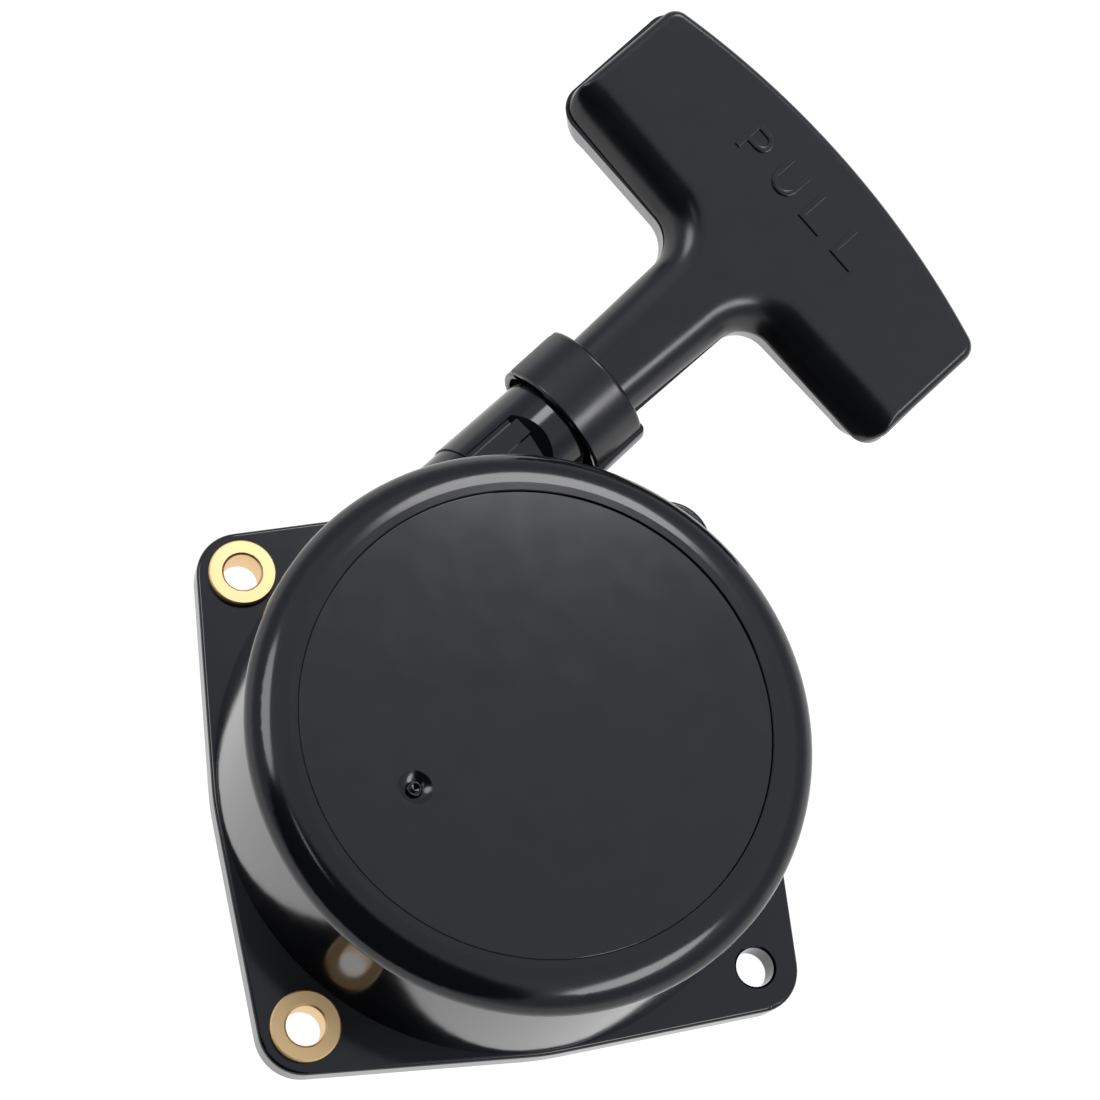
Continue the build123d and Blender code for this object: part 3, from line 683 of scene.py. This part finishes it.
def rope_mat():
    m, nt, b = new_mat("rope_fibre")
    tc = nd(nt, "ShaderNodeTexCoord").outputs["Object"]
    n1 = noise(nt, tc, 2600.0, 3.0, 0.7)
    w = nd(nt, "ShaderNodeTexWave")
    w.inputs["Scale"].default_value = 520.0
    w.inputs["Distortion"].default_value = 3.0
    w.inputs["Detail"].default_value = 2.0
    nt.links.new(tc, w.inputs["Vector"])
    nt.links.new(mixc(nt, w.outputs["Fac"], (0.012, 0.012, 0.014), (0.055, 0.055, 0.060)), b.inputs["Base Color"])
    nt.links.new(remap(nt, n1, 0.62, 0.92), b.inputs["Roughness"])
    b.inputs["Sheen Weight"].default_value = 0.3
    b.inputs["Sheen Roughness"].default_value = 0.5
    bump(nt, b, [(w.outputs["Fac"], 0.5, 0.00012), (n1, 0.35, 0.00006)])
    return m


M_ROPE = rope_mat()

BY_SLOT = {"housing_black": M_CASE, "disc_black": M_DISC, "handle_black": M_HANDLE, "brass": M_BRASS,
           "steel": M_STEEL, "spring_steel": M_SPRING, "reel_plastic": M_REEL, "pawl_metal": M_PAWL,
           "rope_fibre": M_ROPE, "guide_black": M_GUIDE}
for sp in frame["record"]["subparts"]:
    assign(nodes[sp["node"]], BY_SLOT[sp["material_slot"]])
assign(front, M_HANDLE)
assign(back, M_HANDLE)
assign(rope, M_ROPE)

# ---------------------------------------------------------------------------
# floor, surroundings, lights
# ---------------------------------------------------------------------------
me = bpy.data.meshes.new("floor")
S = 8.0
me.from_pydata([(-S, -S, -0.0006), (S, -S, -0.0006), (S, S, -0.0006), (-S, S, -0.0006)], [], [(0, 1, 2, 3)])
floor = bpy.data.objects.new("floor", me)
bpy.context.scene.collection.objects.link(floor)
m, nt, b = new_mat("floor")
b.inputs["Base Color"].default_value = (0.10, 0.10, 0.10, 1)
b.inputs["Roughness"].default_value = 0.9
b.inputs["Specular IOR Level"].default_value = 0.0
b.inputs["Emission Color"].default_value = (1.0, 1.0, 1.0, 1)
b.inputs["Emission Strength"].default_value = 1.0
assign(floor, m)

world = bpy.data.worlds.new("world")
bpy.context.scene.world = world
world.use_nodes = True
wt = world.node_tree
wt.nodes.clear()
wo = wt.nodes.new("ShaderNodeOutputWorld")
bg = wt.nodes.new("ShaderNodeBackground")
wt.links.new(bg.outputs[0], wo.inputs[0])
tcw = wt.nodes.new("ShaderNodeTexCoord")
sep = wt.nodes.new("ShaderNodeSeparateXYZ")
wt.links.new(tcw.outputs["Generated"], sep.inputs[0])
ramp = wt.nodes.new("ShaderNodeValToRGB")
wt.links.new(sep.outputs["Z"], ramp.inputs[0])
cr = ramp.color_ramp
cr.interpolation = "EASE"
stops = [(0.0, 0.95), (0.10, 0.72), (0.28, 0.50), (0.48, 0.52), (0.70, 0.80), (0.92, 0.80), (1.0, 0.66)]
while len(cr.elements) < len(stops):
    cr.elements.new(0.5)
for e, (p, v) in zip(cr.elements, stops):
    e.position = p
    e.color = (v * 0.90, v * 0.94, v * 1.07, 1)
# the unlit side of the studio
dot = wt.nodes.new("ShaderNodeVectorMath")
dot.operation = "DOT_PRODUCT"
wt.links.new(tcw.outputs["Generated"], dot.inputs[0])
da, de = math.radians(222), math.radians(41)
dot.inputs[1].default_value = (math.cos(de) * math.cos(da), math.cos(de) * math.sin(da), math.sin(de))
mrw = wt.nodes.new("ShaderNodeMapRange")
mrw.interpolation_type = "SMOOTHSTEP"
mrw.inputs["From Min"].default_value = math.cos(math.radians(44))
mrw.inputs["From Max"].default_value = math.cos(math.radians(36))
mrw.inputs["To Min"].default_value = 0.0
mrw.inputs["To Max"].default_value = 1.0
wt.links.new(dot.outputs["Value"], mrw.inputs["Value"])
mx = wt.nodes.new("ShaderNodeMix")
mx.data_type = "RGBA"
mx.inputs[7].default_value = (0.03, 0.032, 0.038, 1)
wt.links.new(ramp.outputs[0], mx.inputs[6])
wt.links.new(mrw.outputs[0], mx.inputs[0])
wt.links.new(mx.outputs[2], bg.inputs[0])
bg.inputs[1].default_value = 1.0


def soft(name, az_d, el_d, dist, w_deg, h_deg, radiance, color=(1, 1, 1), roll=0.0, shape="ELLIPSE"):
    """A soft box in a direction from the object, given by its angular size."""
    a, e = math.radians(az_d), math.radians(el_d)
    tgt = Vector((0.0, 0.0, 0.02))
    loc = tgt + Vector((math.cos(e) * math.cos(a), math.cos(e) * math.sin(a), math.sin(e))) * dist
    d = bpy.data.lights.new(name, "AREA")
    d.shape = shape
    d.size = 2 * dist * math.tan(math.radians(w_deg / 2))
    d.size_y = 2 * dist * math.tan(math.radians(h_deg / 2))
    ar = d.size * d.size_y * (math.pi / 4 if shape == "ELLIPSE" else 1.0)
    d.energy = radiance * math.pi * ar
    d.color = color
    o = bpy.data.objects.new(name, d)
    bpy.context.scene.collection.objects.link(o)
    o.location = loc
    q = (tgt - loc).to_track_quat("-Z", "Y")
    o.rotation_euler = q.to_euler()
    o.rotation_euler.rotate_axis("Z", math.radians(roll))
    return o


soft("box_a", 60, 53, 2.2, 22, 20, 7.0)
soft("box_b", 147, 46, 2.2, 26, 20, 4.5, roll=0)
soft("box_c", 310, 51, 2.2, 34, 14, 6.5, roll=18)
soft("strip", 184, 64, 2.2, 12, 3.0, 3.5)

sc = bpy.context.scene
sc.view_settings.view_transform = "Standard"
sc.view_settings.look = "None"
sc.view_settings.exposure = 0.0
sc.view_settings.gamma = 1.0
